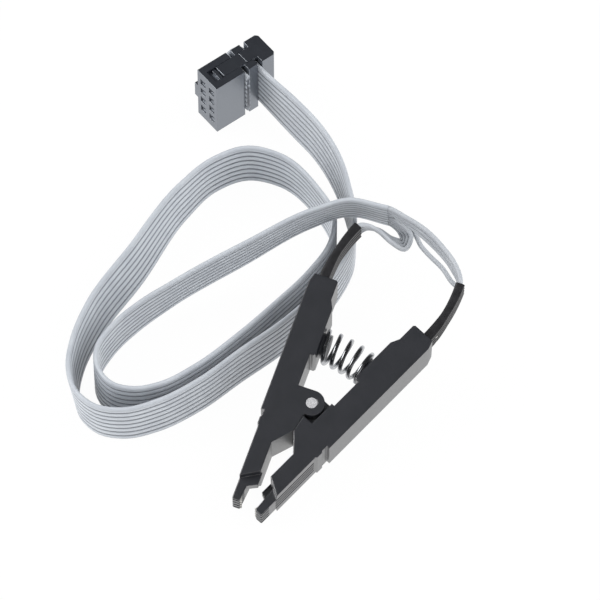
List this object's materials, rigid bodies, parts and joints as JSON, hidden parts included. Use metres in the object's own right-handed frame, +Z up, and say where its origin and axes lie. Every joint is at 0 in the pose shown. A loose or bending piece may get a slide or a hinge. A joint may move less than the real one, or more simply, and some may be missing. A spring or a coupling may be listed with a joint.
{
  "type": "ic test clip",
  "caption": "Spring clip with slim comb-tipped jaws that grips a small-outline chip and brings its pins out on a ribbon lead to a keyed pin-header socket.",
  "frame": {"origin": "middle of the underside of the clip's box, on the table that the clip lies on", "axes": "+Z up, -Y towards the nose end of the clip, +X towards the handle end of the right jaw"},
  "size_m": [0.0706, 0.1003, 0.0204],
  "materials": {
    "jaw_plastic": "moulded, slightly glossy",
    "pin_steel": "satin",
    "spring_steel": "bright drawn wire",
    "contact_metal": "plated",
    "sleeve_rubber": "satin shrink sleeve",
    "ribbon_vinyl": "satin vinyl",
    "socket_plastic": "moulded, slightly glossy"
  },
  "bodies": {
    "left jaw": {"left_jaw": "jaw_plastic", "hinge_pin": "pin_steel", "spring": "spring_steel", "left_contact_1": "contact_metal", "left_contact_2": "contact_metal", "left_contact_3": "contact_metal", "left_contact_4": "contact_metal", "left_sleeve_1": "sleeve_rubber", "left_sleeve_2": "sleeve_rubber", "left_sleeve_3": "sleeve_rubber", "left_sleeve_4": "sleeve_rubber", "left_wire_1": "ribbon_vinyl", "left_wire_2": "ribbon_vinyl", "left_wire_3": "ribbon_vinyl", "left_wire_4": "ribbon_vinyl", "right_wire_1": "ribbon_vinyl", "right_wire_2": "ribbon_vinyl", "right_wire_3": "ribbon_vinyl", "right_wire_4": "ribbon_vinyl", "ribbon": "ribbon_vinyl", "ribbon_fold": "ribbon_vinyl", "socket_body": "socket_plastic", "socket_contacts": "contact_metal", "socket_cover": "socket_plastic", "strain_relief": "socket_plastic"},
    "right jaw": {"right_jaw": "jaw_plastic", "right_contact_1": "contact_metal", "right_contact_2": "contact_metal", "right_contact_3": "contact_metal", "right_contact_4": "contact_metal", "right_sleeve_1": "sleeve_rubber", "right_sleeve_2": "sleeve_rubber", "right_sleeve_3": "sleeve_rubber", "right_sleeve_4": "sleeve_rubber"}
  },
  "joints": [
    {"name": "jaw_hinge", "type": "hinge", "parent": "left jaw", "child": "right jaw", "pos_m": [-0.00673, -0.00677, 0.00863], "axis": [0, -0.2672, 0.9636], "range_deg": [0, 14], "stiffness_Nm_per_rad": 0.15, "springref_deg": -20.05, "deforming": ["spring", "right_wire_1", "right_wire_2", "right_wire_3", "right_wire_4"]}
  ]
}
